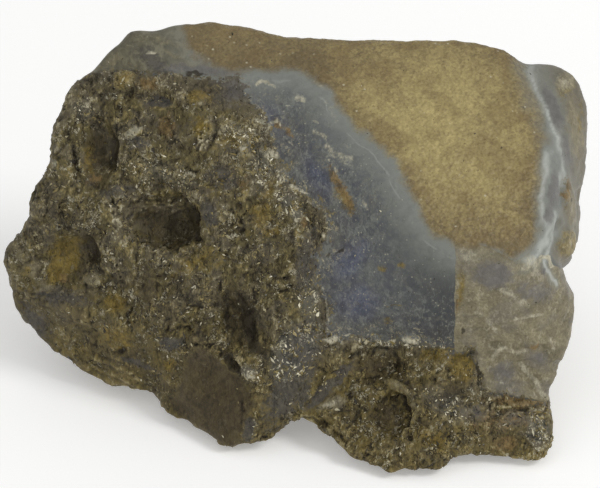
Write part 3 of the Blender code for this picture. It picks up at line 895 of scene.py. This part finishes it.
def mottle_group():
    """Small broken flakes: their mixed tone, their sharp crests, the cracks between them and their height."""
    found = bpy.data.node_groups.get("mineral mottle")
    if found:
        return found
    tree = bpy.data.node_groups.new("mineral mottle", "ShaderNodeTree")
    tree.interface.new_socket("Place", in_out="INPUT", socket_type="NodeSocketVector")
    tree.interface.new_socket("Fineness", in_out="INPUT", socket_type="NodeSocketFloat").default_value = 1.0
    for name in ("Tone", "Crest", "Crack", "Height"):
        tree.interface.new_socket(name, in_out="OUTPUT", socket_type="NodeSocketFloat")
    nodes = Nodes(tree)
    given = tree.nodes.new("NodeGroupInput").outputs
    scaled = nodes.add("VectorMath", {0: given["Place"], 3: given["Fineness"]}, operation="SCALE")
    place = scaled.outputs[0]
    sway = nodes.add("TexNoise", {"Vector": place, "Scale": 0.7, "Detail": 2.0}).outputs["Color"]
    swayed = nodes.vector("MULTIPLY_ADD", sway, (1.6, 1.6, 1.6), place)
    upright = nodes.vector("MULTIPLY", swayed, (1.0, 0.38, 0.38))  # drawn out upwards
    flake = nodes.cells(swayed, 1.5)
    flake_tone = nodes.chance(flake)
    fine = nodes.lumps(place, 0.42, 3, 0.7)
    middling = nodes.lumps(upright, 1.3, 4, 0.62, 0.6)
    fibres = nodes.lumps(upright, 0.4, 2, 0.55)
    tone = nodes.total((flake_tone, 0.16), (fine, 0.2), (middling, 0.42), (fibres, 0.56))

    def from_middle(noise, middle):
        return nodes.math("ABSOLUTE", nodes.math("SUBTRACT", noise, middle))

    def thread(where, size, wide):
        """Thin winding lines, where a noise passes its middle."""
        return nodes.step(from_middle(nodes.lumps(where, size, 3, 0.6), 0.5), wide, wide * 0.3)

    crest = nodes.math(
        "MAXIMUM", thread(swayed, 1.7, 0.028), nodes.times(thread(upright, 0.7, 0.04), 0.75))
    crest = nodes.times(crest, nodes.step(nodes.lumps(place, 1.1, 3, 0.65), 0.48, 0.57))  # in short pieces
    crest = nodes.times(crest, nodes.step(nodes.lumps(place, 4.2, 3), 0.47, 0.58))  # in clusters
    crack = nodes.step(from_middle(nodes.lumps(upright, 1.9, 4, 0.6, 0.8), 0.47), 0.022, 0.004)
    crack = nodes.times(crack, nodes.step(nodes.lumps(place, 2.4, 2), 0.44, 0.56))
    height = nodes.total(
        (flake.outputs["Distance"], -0.4), (flake_tone, 0.25), (middling, 0.9), (fine, 0.35), (fibres, 0.5),
        (crest, 0.35), (crack, -0.8))
    out = tree.nodes.new("NodeGroupOutput")
    for name, value in (("Tone", tone), ("Crest", crest), ("Crack", crack), ("Height", height)):
        tree.links.new(value, out.inputs[name])
    return tree


def add_mottle(nodes, place, fineness):
    return nodes.add("Group", {"Place": place, "Fineness": fineness}, node_tree=mottle_group()).outputs


def crust_colour(nodes, place, mottle, looks):
    """Olive and brown flakes with ochre, grey and cream among them."""
    flakes = mottle["Tone"]
    broad = nodes.lumps(place, 8, 3, 0.55)
    # painted shade and light: the tone is darker where the mesh sinks into a crease and lighter where it
    # rises to a crest
    tone = nodes.total((flakes, 1.4), (broad, 0.75), (nodes.measure("crease"), -1.2))
    leftward = nodes.step(nodes.axis(place, "X"), *CRUST_DARKENS)
    tone = nodes.math("SUBTRACT", tone, nodes.line(leftward, 0.08, 0.875))
    tone = nodes.line(nodes.step(nodes.axis(place, "Z"), *CRUST_LIGHTENS), 0.045, tone)
    smooth = nodes.measure("smooth")
    evener = nodes.math("SUBTRACT", 0.66, flakes)
    tone = nodes.line(nodes.times(smooth, 0.8), evener, tone)

    low = nodes.step(nodes.axis(place, "Z"), *CRUST_WARMS)
    ochre = nodes.step(nodes.lumps(place, 5, 3, 0.6, 0.5), 0.47, 0.62)
    frost = nodes.step(nodes.measure("frosted"), -0.15, 0.4)
    edge = nodes.step(nodes.measure("crust"), 6.0, 0.5)
    greyer = nodes.times(nodes.step(nodes.lumps(place, 5, 4, 0.62, 0.3), 0.46, 0.58), 0.7)
    greyer = nodes.times(greyer, nodes.line(low, -0.55, 1.0))
    for mask, most in ((frost, 0.8), (edge, 0.6)):
        greyer = nodes.math("MAXIMUM", greyer, nodes.times(mask, most))

    olive = nodes.ramp(
        tone, (0.1, looks.crust_dark), (0.34, lit(looks.crust_olive, 0.66)),
        (0.55, lit(looks.crust_olive, 1.1)), (0.84, looks.crust_pale), (1.0, looks.cream))
    warm = nodes.ramp(
        tone, (0.1, looks.crust_dark), (0.34, lit(looks.gold, 0.42)), (0.6, lit(looks.gold, 0.86)),
        (0.9, lit(looks.crust_pale, 1.1)))
    grey = nodes.ramp(
        tone, (0.1, lit(looks.crust_grey, 0.3)), (0.36, lit(looks.crust_grey, 0.7)),
        (0.62, lit(looks.crust_grey, 1.1)), (0.95, looks.cream))
    made = nodes.cover(olive, warm, low, 0.42)
    made = nodes.cover(made, warm, ochre, nodes.line(low, 0.4, 0.4))
    made = nodes.mix(greyer, made, grey)
    beyond = nodes.step(nodes.measure("crust"), 0.4, -1.2)  # lone flakes outside the border
    made = nodes.cover(made, lit(looks.crust_pale, 0.85), beyond, 0.6)
    made = nodes.cover(made, looks.crust_dark, mottle["Crack"], 0.75)
    made = nodes.cover(made, lit(looks.rim, 0.8), frost, 0.2)
    crest = nodes.times(mottle["Crest"], nodes.line(frost, 0.1, 0.85))
    crest_shade = nodes.mix(ochre, lit(looks.cream, 1.15), lit(looks.crust_pale, 1.7))
    crest_shade = nodes.mix(frost, crest_shade, looks.cream)
    return nodes.cover(made, crest_shade, crest, nodes.line(smooth, -0.75, 1.0))


def specks(nodes, place, size, share):
    """Small round specks: 1 on each of them, on this share of the cells."""
    cells = nodes.cells(place, size)
    chosen = nodes.step(nodes.chance(cells), 0.98 - share, 1.01 - share)
    return nodes.times(chosen, nodes.step(cells.outputs["Distance"], 0.4, 0.16))


def druse_colour(nodes, place, looks):
    """Fine brown and cream knobs and painted glints, with painted light right of the middle and painted shade
    towards the back and the left.
    """
    grain_tone = nodes.chance(nodes.cells(place, 0.75))
    fine = nodes.lumps(place, 0.5, 3, 0.6)
    middling = nodes.lumps(place, 1.9, 3, 0.6)
    broad = nodes.lumps(place, 8, 3, 0.55, 0.4)
    tone = nodes.total((grain_tone, 0.2), (fine, 0.55), (middling, 0.34), (broad, 0.5))
    # painted light: the druse is lighter round a spot right of the middle
    off = nodes.add("VectorMath", {0: place, 1: DRUSE_PAINTED_LIGHT}, operation="DISTANCE").outputs["Value"]
    painted_light = nodes.line(nodes.step(off, *PAINTED_LIGHT_REACH), 0.34, -0.405)
    tone = nodes.math("ADD", tone, painted_light)
    # painted shade: darker near the druse's border
    tone = nodes.line(nodes.step(nodes.measure("druse"), 6.0, 0.0), -0.18, tone)
    made = nodes.ramp(
        tone, (0.05, lit(looks.druse_dark, 0.72)), (0.27, looks.druse_dark), (0.5, looks.druse),
        (0.74, looks.druse_light), (0.98, lit(looks.druse_light, 1.35)))
    brown = nodes.step(nodes.lumps(place, 6, 3, 0.55, 0.4), 0.5, 0.62)
    made = nodes.cover(made, lit(looks.rust, 0.95), brown, 0.3)
    # painted shade: darker towards the left
    leftward = nodes.step(nodes.axis(place, "X"), *DRUSE_SHADE_SPAN)
    made = nodes.cover(made, lit(looks.druse_dark, 0.98), leftward, 0.4)
    # painted glints: rare bright cream specks on the druse
    return nodes.cover(made, lit(looks.cream, 1.2), specks(nodes, place, 0.8, 0.012), 0.6)


def face_colour(nodes, place, mottle, looks):
    """The blue face: cloudy grey blue with smoky patches, pale dust and specks, rougher near the crust, with
    painted shade towards the corner.
    """
    cloud = nodes.lumps(place, 6, 4, 0.6, 0.4)
    smoke = nodes.lumps(place, 2.2, 4, 0.65, 0.6)
    dust = nodes.lumps(place, 0.42, 3, 0.7)
    bluer = nodes.step(nodes.line(cloud, 0.7, nodes.measure("bluer")), 0.2, 0.9)
    made = nodes.cover(looks.blue, looks.blue_deep, bluer, 0.9)
    made = nodes.cover(made, lit(looks.blue_deep, 0.55), nodes.step(smoke, 0.56, 0.36), 0.42)
    dusty = nodes.times(nodes.step(smoke, 0.42, 0.62), nodes.step(dust, 0.42, 0.66))
    made = nodes.cover(made, nodes.mix(nodes.step(cloud, 0.5, 0.65), looks.rim, looks.corner), dusty, 0.4)
    made = nodes.cover(made, lit(looks.blue, 0.35), mottle["Crack"], 0.35)
    # painted shade: the face darkens towards the corner
    shade_to_corner = nodes.step(nodes.axis(place, "X"), *BLUE_SHADE_SPAN)
    made = nodes.cover(made, lit(looks.blue, 0.5), shade_to_corner, 0.85)

    flakes = mottle["Tone"]
    strength = nodes.line(nodes.step(nodes.measure("crust"), -15.0, -1.0), 0.42, 0.12)
    made = nodes.cover(made, lit(looks.blue_deep, 0.4), nodes.step(flakes, 0.66, 0.54), strength)
    made = nodes.cover(made, lit(looks.rim, 1.1), nodes.step(flakes, 0.68, 0.82), strength)
    edge = nodes.step(nodes.measure("crust"), -7.0, -0.2)
    edge_shade = nodes.mix(nodes.step(cloud, 0.45, 0.6), looks.slate, looks.crust_grey)
    made = nodes.cover(made, edge_shade, edge, 0.35)
    crest_shade = nodes.mix(smoke, looks.crust_pale, looks.cream)
    made = nodes.cover(made, crest_shade, nodes.times(edge, 0.75), mottle["Crest"])
    return nodes.cover(made, looks.cream, specks(nodes, place, 0.5, 0.05), 0.45)


def corner_colour(nodes, place, mottle, looks):
    """The grey corner and the slab: tan grey in thin uneven layers."""
    layered = nodes.add("Mapping", {"Vector": place, "Scale": (0.5, 0.5, 1.1), "Rotation": (0, 0.12, 0)})
    layers = nodes.lumps(layered.outputs["Vector"], 1.6, 4, 0.62, 1.0)
    cloud = nodes.lumps(place, 4.5, 4, 0.6, 0.5)
    fine = nodes.lumps(place, 0.45, 3, 0.65)
    tone = nodes.math("SUBTRACT", nodes.total((layers, 0.5), (cloud, 0.95), (fine, 0.75)), 0.68)
    made = nodes.ramp(
        tone, (0.12, lit(looks.corner, 0.45)), (0.4, lit(looks.corner, 0.82)), (0.64, lit(looks.corner, 1.2)),
        (0.92, looks.cream))
    flakes = mottle["Tone"]
    made = nodes.cover(made, lit(looks.corner, 0.4), nodes.step(flakes, 0.64, 0.52), 0.3)
    made = nodes.cover(made, looks.cream, nodes.step(flakes, 0.7, 0.86), 0.35)
    lilac = nodes.step(nodes.lumps(place, 6, 3, 0.55, 0.5), 0.5, 0.62)
    return nodes.cover(made, nodes.between(fine, looks.lilac, 0.75, 1.15), lilac, 0.3)


def hump_colour(nodes, place, mottle, looks):
    """The olive grey hump, darker and lighter in soft streaks."""
    streaks = nodes.lumps(place, 3, 4, 0.65, 1.2)
    tone = nodes.total((streaks, 0.9), (mottle["Tone"], 0.3), (nodes.lumps(place, 9, 2), 0.5))
    return nodes.ramp(
        tone, (0.72, lit(looks.hump, 0.55)), (0.9, lit(looks.hump, 0.92)), (1.0, lit(looks.hump, 1.25)))


def new_material(name):
    """A material, its nodes and its surface."""
    material = bpy.data.materials.new(name)
    material.use_nodes = True
    return material, Nodes(material.node_tree), material.node_tree.nodes["Principled BSDF"].inputs


def stone_material(looks):
    material, nodes, surface = new_material("agate")
    place = nodes.place()
    mottle = add_mottle(nodes, place, 1.15)
    fray = nodes.total((nodes.lumps(place, 1.3, 4, 0.7), 4.2), (nodes.lumps(place, 0.4, 2), 1.4))
    frayed = nodes.math("SUBTRACT", fray, 2.8)  # frays a border, in millimetres

    def within(name, low, high, share):
        return nodes.step(nodes.line(frayed, share, nodes.measure(name)), low, high)

    in_crust = within("crust", -0.35, 0.35, 1.9)
    in_druse = within("druse", -1.1, 1.1, 0.4)
    in_corner = within("corner", -0.1, 0.1, 0.08)
    in_slab = within("slab", -0.5, 0.5, 0.25)
    in_hump = within("hump", -0.6, 0.6, 0.4)
    corner = corner_colour(nodes, place, mottle, looks)
    slab = nodes.mix(0.25, nodes.mix(0.55, corner, lit(looks.corner, 0.52)), looks.lilac)
    made = nodes.mix(in_corner, face_colour(nodes, place, mottle, looks), corner)
    made = nodes.mix(in_slab, made, slab)
    made = nodes.mix(in_hump, made, hump_colour(nodes, place, mottle, looks))

    # the rim round the druse: a pale halo with a thin line in it, weaker on the corner, the slab and the hump
    depth = nodes.line(frayed, 0.12, nodes.measure("druse"))
    fade = nodes.math("POWER", nodes.step(depth, -11.0, 0.5), 1.6)
    fade = nodes.times(fade, nodes.line(nodes.lumps(place, 1.6, 4, 0.6, 0.8), 0.9, 0.5))
    fade = nodes.math("MINIMUM", fade, 0.9)
    near_hump = nodes.step(nodes.measure("hump"), -1.0, 2.0)
    for mask, loss in ((near_hump, 0.7), (in_corner, 0.85), (in_slab, 0.45)):
        fade = nodes.times(fade, nodes.line(mask, -loss, 1.0))
    made = nodes.mix(fade, made, looks.rim)
    off = nodes.math("ABSOLUTE", nodes.math("ADD", depth, 2.2))
    thin = nodes.times(nodes.step(off, 0.28, 0.05), nodes.step(nodes.lumps(place, 5, 2), 0.5, 0.62))
    made = nodes.cover(made, looks.lace, thin, 0.25)
    made = nodes.mix(in_druse, made, druse_colour(nodes, place, looks))

    lace = nodes.line(frayed, 0.1, nodes.measure("lace"))
    made = nodes.mix(nodes.step(lace, -1.2, 0.4), made, nodes.mix(0.5, made, looks.rim))
    made = nodes.mix(nodes.step(lace, 0.0, 0.9), made, looks.lace)
    made = nodes.mix(in_crust, made, crust_colour(nodes, place, mottle, looks))

    # each kind of patch: its colour, how dark and how light that gets, how much of it there is, the depths in
    # the patch between which it comes in, and how frayed its border is
    stains = {
        "lilac": (looks.lilac, 0.8, 1.1, 0.8, -0.15, 0.5, 0.28),
        "slate": (looks.slate, 0.75, 1.3, 0.8, -0.1, 0.3, 0.28),
        # brown also stands for painted shade in the valley and the hollows
        "brown": (looks.plate, 0.6, 1.4, 0.78, -0.15, 0.95, 0.4),
        "tan": (looks.corner, 0.72, 1.2, 0.75, -0.1, 0.6, 0.28),
        "mustard": (looks.gold, 0.55, 1.35, 0.75, -0.1, 0.5, 0.28),
        "rust": (looks.rust, 0.5, 1.3, 0.85, -0.1, 0.5, 0.45),
        "cream": (looks.cream, 0.5, 1.1, 0.9, 0.0, 0.5, 0.2),
    }
    tone = nodes.step(mottle["Tone"], 0.5, 0.85)
    for kind, (shade, dark, light, most, low, high, fraying) in stains.items():
        mottled = nodes.between(tone, shade, dark, light)
        made = nodes.cover(made, mottled, within(kind, low, high, fraying), most)
    frost = nodes.times(nodes.step(nodes.measure("frosted"), -0.15, 0.4), in_crust)
    made = nodes.cover(made, lit(looks.cream, 1.1), nodes.times(frost, 0.7), mottle["Crest"])
    # the dark patches: dark spots and cracks, and painted shade on the walls of hollows, the rims of pits and
    # in crevices
    made = nodes.cover(made, lit(looks.crust_dark, 0.9), within("dark", 0.0, 0.5, 0.28), 0.8)
    # painted shade: darker in the broad hollows of the mesh
    made = nodes.cover(made, lit(looks.crust_dark, 0.9), nodes.step(nodes.measure("hollow"), 0.2, 1.4), 0.35)
    nodes.put(made, surface["Base Color"])

    nodes.put(0.22, surface["Specular IOR Level"])
    nodes.put(nodes.mix(in_crust, (0.42,) * 3, (0.52,) * 3), surface["Roughness"])
    flakes = nodes.times(mottle["Height"], nodes.line(nodes.measure("rough"), 0.9, 0.06))
    knobs = nodes.times(nodes.cells(place, 0.65, feature="SMOOTH_F1").outputs["Distance"], in_druse)
    height = nodes.total((flakes, 0.42), (knobs, -0.46), (nodes.lumps(place, 0.3, 3, 0.6), 0.05))
    bump = nodes.add("Bump", {"Height": height, "Strength": 0.85, "Distance": MM})
    nodes.put(bump.outputs["Normal"], surface["Normal"])
    return material


def grain_material(looks):
    material, nodes, surface = new_material("quartz grains")
    flakes = add_mottle(nodes, nodes.place(), 2.0)["Tone"]
    tone = nodes.math("SUBTRACT", nodes.line(flakes, 0.3, nodes.measure("tone")), 0.2)
    plain = nodes.ramp(
        tone, (0.05, looks.crust_dark), (0.35, lit(looks.crust_olive, 0.9)), (0.62, looks.crust_pale),
        (0.82, looks.cream), (0.98, lit(looks.cream, 1.5)))
    warm = nodes.ramp(
        tone, (0.05, looks.crust_dark), (0.4, lit(looks.gold, 0.8)), (0.7, lit(looks.crust_pale, 1.2)),
        (0.95, looks.cream))
    nodes.put(nodes.mix(nodes.measure("gold"), plain, warm), surface["Base Color"])
    nodes.put(nodes.mix(nodes.step(flakes, 0.5, 0.9), (0.3,) * 3, (0.16,) * 3), surface["Roughness"])
    return material


def floor_material(studio):
    material, nodes, surface = new_material("studio floor")
    cloud = nodes.lumps(nodes.place(), 300, 2)
    nodes.put(nodes.mix(cloud, lit(studio.floor, 0.985), studio.floor), surface["Base Color"])
    nodes.put(0.9, surface["Roughness"])
    nodes.put((1, 1, 1, 1), surface["Emission Color"])
    nodes.put(0.25, surface["Emission Strength"])
    return material


# ------------------------------------------------------------------------------
# Grains

# a grain is a long flat octahedron: its corners, its faces, and its length, width and thickness
GRAIN_CORNERS = np.array([[1, 0, 0], [0, 1, 0], [-1, 0, 0], [0, -1, 0], [0, 0, 1], [0, 0, -1]], float)
GRAIN_FACES = np.array(
    [[0, 1, 4], [1, 2, 4], [2, 3, 4], [3, 0, 4], [1, 0, 5], [2, 1, 5], [3, 2, 5], [0, 3, 5]])
GRAIN_SHAPE = (0.75, 0.26, 0.16)
LONGEST_GRAIN = 1.5  # in millimetres


def grain_places(mesh, count, rng):
    """Where grains grow: their places, in millimetres, their normals, and the frost and the depth in the
    crust there."""
    mesh.calc_loop_triangles()
    corners = np.empty(len(mesh.loop_triangles) * 3, int)
    mesh.loop_triangles.foreach_get("vertices", corners)
    corners = corners.reshape(-1, 3)
    areas = np.empty(len(corners))
    mesh.loop_triangles.foreach_get("area", areas)
    places, normals = read_shape(mesh)
    crust, front = read_measure(mesh, "crust"), read_measure(mesh, "front")
    frost = soft_step(read_measure(mesh, "frosted"), -0.2, 0.3)
    near = soft_step(crust, -5, 0.5) ** 2.5
    share = 0.02 + near * (0.12 + 0.88 * read_measure(mesh, "rough")) * (0.5 + 2.0 * frost)
    share *= 0.1 + 1.3 * soft_step(lumps(places, 2.4, 2, 16), -0.15, 0.45)  # they grow in clumps
    share *= 0.35 + 0.65 * front
    share *= soft_step(read_measure(mesh, "hollow"), 1.3, 0.1) * 0.8 + 0.2
    shaded = np.maximum(read_measure(mesh, "dark"), read_measure(mesh, "brown"))
    share *= 1 - 0.85 * soft_step(shaded, -0.1, 0.4)
    share *= np.clip(places[:, 2] - 0.8, 0, 1)  # none near the ground
    share *= 1 - 0.75 * soft_step(-places[:, 0], 36, 50)  # and few at the left end
    chance = areas * share[corners].mean(1)
    chosen = rng.choice(len(corners), count, p=chance / chance.sum())
    weights = rng.dirichlet((1, 1, 1), count)

    def at(values):
        return np.einsum("ij,ij...->i...", weights, values[corners[chosen]])

    return at(places), at(normals), at(frost), at(crust)


def grow_grains(mesh, sizes):
    """Small flat-faced chips of quartz, lying on the stone at all angles."""
    rng = np.random.default_rng(11)
    count = sizes.grain_count
    places, normals, frost, crust = grain_places(mesh, count, rng)
    upright = normals + rng.normal(0, 0.28, (count, 3))
    upright /= np.linalg.norm(upright, axis=1, keepdims=True)
    along = np.cross(upright, rng.normal(0, 1, (count, 3)))
    along /= np.linalg.norm(along, axis=1, keepdims=True)
    sideways = np.cross(upright, along)
    size = sizes.grain_size / MM * rng.lognormal(-0.1, 0.38, count)
    size *= 0.55 + 0.45 * soft_step(crust, -1.5, 0.5)
    size = np.minimum(size, LONGEST_GRAIN)[:, None]
    corners = GRAIN_CORNERS[None] * GRAIN_SHAPE * rng.uniform(0.7, 1.3, (count, 6, 1))
    corners = corners + rng.normal(0, 0.06, (count, 6, 3))
    turned = (corners[:, :, :1] * along[:, None] + corners[:, :, 1:2] * sideways[:, None]
              + corners[:, :, 2:] * upright[:, None]) * size[:, None]
    verts = places[:, None] + turned
    verts[:, :, 2] = np.maximum(verts[:, :, 2], 0)
    faces = GRAIN_FACES[None] + 6 * np.arange(count)[:, None, None]
    made = bpy.data.meshes.new("quartz_grains")
    made.from_pydata((verts.reshape(-1, 3) * MM).tolist(), [], faces.reshape(-1, 3).tolist())
    gold = soft_step(lumps(places, 6, 3, 15), 0.15, 0.7)
    tone = np.clip(rng.beta(1.1, 2.2, count) + 0.25 * frost, 0, 1)
    write_measure(made, "tone", np.repeat(tone, 6))
    write_measure(made, "gold", np.repeat(gold, 6))
    grains = bpy.data.objects.new("quartz_grains", made)
    bpy.context.scene.collection.objects.link(grains)
    return grains


# ------------------------------------------------------------------------------
# The studio

FLOOR_REACH = 4.0  # from the middle of the floor to its edges, in metres
# the lights: where they stand and how wide they are, in metres, and their share of the main light's power
LIGHTS = {
    "main light": ((0.75, -0.35, 0.9), 0.45, 1.0),
    "left fill": ((-0.9, -0.7, 0.5), 0.7, 0.12),
}


def point_at(thing, place, target):
    thing.location = place
    thing.rotation_euler = (Vector(target) - Vector(place)).to_track_quat("-Z", "Y").to_euler()


def add_camera():
    data = bpy.data.cameras.new("camera")
    data.sensor_width = 36.0
    data.lens = data.sensor_width * VIEW_AWAY / (VIEW_WIDE * VIEW_STEP)
    data.clip_start, data.clip_end = 0.05, 20
    camera = bpy.data.objects.new("camera", data)
    bpy.context.scene.collection.objects.link(camera)
    point_at(camera, (VIEW_MIDDLE + VIEW_AWAY * VIEW_BACK) * MM, VIEW_MIDDLE * MM)
    bpy.context.scene.camera = camera


def add_light(name, place, size, power):
    data = bpy.data.lights.new(name, "AREA")
    data.shape = "DISK"
    data.size = size
    data.energy = power
    light = bpy.data.objects.new(name, data)
    bpy.context.scene.collection.objects.link(light)
    point_at(light, place, VIEW_MIDDLE * MM)


def add_floor(studio):
    mesh = bpy.data.meshes.new("floor")
    verts = [(x * FLOOR_REACH, y * FLOOR_REACH, 0) for x, y in ((-1, -1), (1, -1), (1, 1), (-1, 1))]
    mesh.from_pydata(verts, [], [(0, 1, 2, 3)])
    mesh.materials.append(floor_material(studio))
    floor = bpy.data.objects.new("floor", mesh)
    bpy.context.scene.collection.objects.link(floor)


def add_surroundings(studio):
    world = bpy.data.worlds.new("surroundings")
    world.use_nodes = True
    sky = world.node_tree.nodes["Background"]
    sky.inputs["Color"].default_value = (*studio.sky, 1)
    sky.inputs["Strength"].default_value = studio.sky_strength
    bpy.context.scene.world = world


# ------------------------------------------------------------------------------
# Operators, panel and registration


class AGATE_OT_stone(bpy.types.Operator):
    """Draw the stone over its solid with crust, druse, blue face, grey corner and lace"""

    bl_idname = "agate.stone"
    bl_label = "Build the Stone"

    def execute(self, context):
        scene = context.scene
        stone = fine_copy(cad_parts["agate_stone"], scene.agate_sizes.mesh_step)
        add_relief(stone, scene.agate_sizes)
        stone.data.materials.clear()
        stone.data.materials.append(stone_material(scene.agate_colours))
        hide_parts("agate_stone")
        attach(stone, "root")
        return {"FINISHED"}


class AGATE_OT_grains(bpy.types.Operator):
    """Grow small quartz grains on the crust and along its edge"""

    bl_idname = "agate.grains"
    bl_label = "Grow the Grains"

    def execute(self, context):
        scene = context.scene
        stone = bpy.data.objects["banded_stone"]
        grains = grow_grains(stone.data, scene.agate_sizes)
        grains.data.materials.append(grain_material(scene.agate_colours))
        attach(grains, "root")
        return {"FINISHED"}


class AGATE_OT_studio(bpy.types.Operator):
    """Set the floor, the soft lights, the surroundings and the camera"""

    bl_idname = "agate.studio"
    bl_label = "Set the Studio"

    def execute(self, context):
        scene = context.scene
        studio = scene.agate_studio
        add_camera()
        add_floor(studio)
        add_surroundings(studio)
        for name, (place, size, share) in LIGHTS.items():
            add_light(name, place, size, studio.key_power * share)
        scene.view_settings.view_transform = "Standard"
        return {"FINISHED"}


class AGATE_PT_panel(bpy.types.Panel):
    """The steps that build the agate, and its sizes and colours"""

    bl_idname = "AGATE_PT_panel"
    bl_label = "Blue Lace Agate"
    bl_space_type = "VIEW_3D"
    bl_region_type = "UI"
    bl_category = "Agate"

    def draw(self, context):
        layout = self.layout
        for operator in (AGATE_OT_stone, AGATE_OT_grains, AGATE_OT_studio):
            layout.operator(operator.bl_idname)
        for group in (context.scene.agate_sizes, context.scene.agate_colours, context.scene.agate_studio):
            column = layout.column(align=True)
            for name in group.__annotations__:
                column.prop(group, name)


CLASSES = (
    AgateSizes, AgateColours, AgateStudio, AGATE_OT_stone, AGATE_OT_grains, AGATE_OT_studio, AGATE_PT_panel,
)


def register():
    for each in CLASSES:
        bpy.utils.register_class(each)
    bpy.types.Scene.agate_sizes = bpy.props.PointerProperty(type=AgateSizes)
    bpy.types.Scene.agate_colours = bpy.props.PointerProperty(type=AgateColours)
    bpy.types.Scene.agate_studio = bpy.props.PointerProperty(type=AgateStudio)


def unregister():
    del bpy.types.Scene.agate_sizes
    del bpy.types.Scene.agate_colours
    del bpy.types.Scene.agate_studio
    for each in reversed(CLASSES):
        bpy.utils.unregister_class(each)


def main():
    register()
    bpy.ops.agate.stone()
    bpy.ops.agate.grains()
    bpy.ops.agate.studio()


if __name__ == "__main__":
    main()
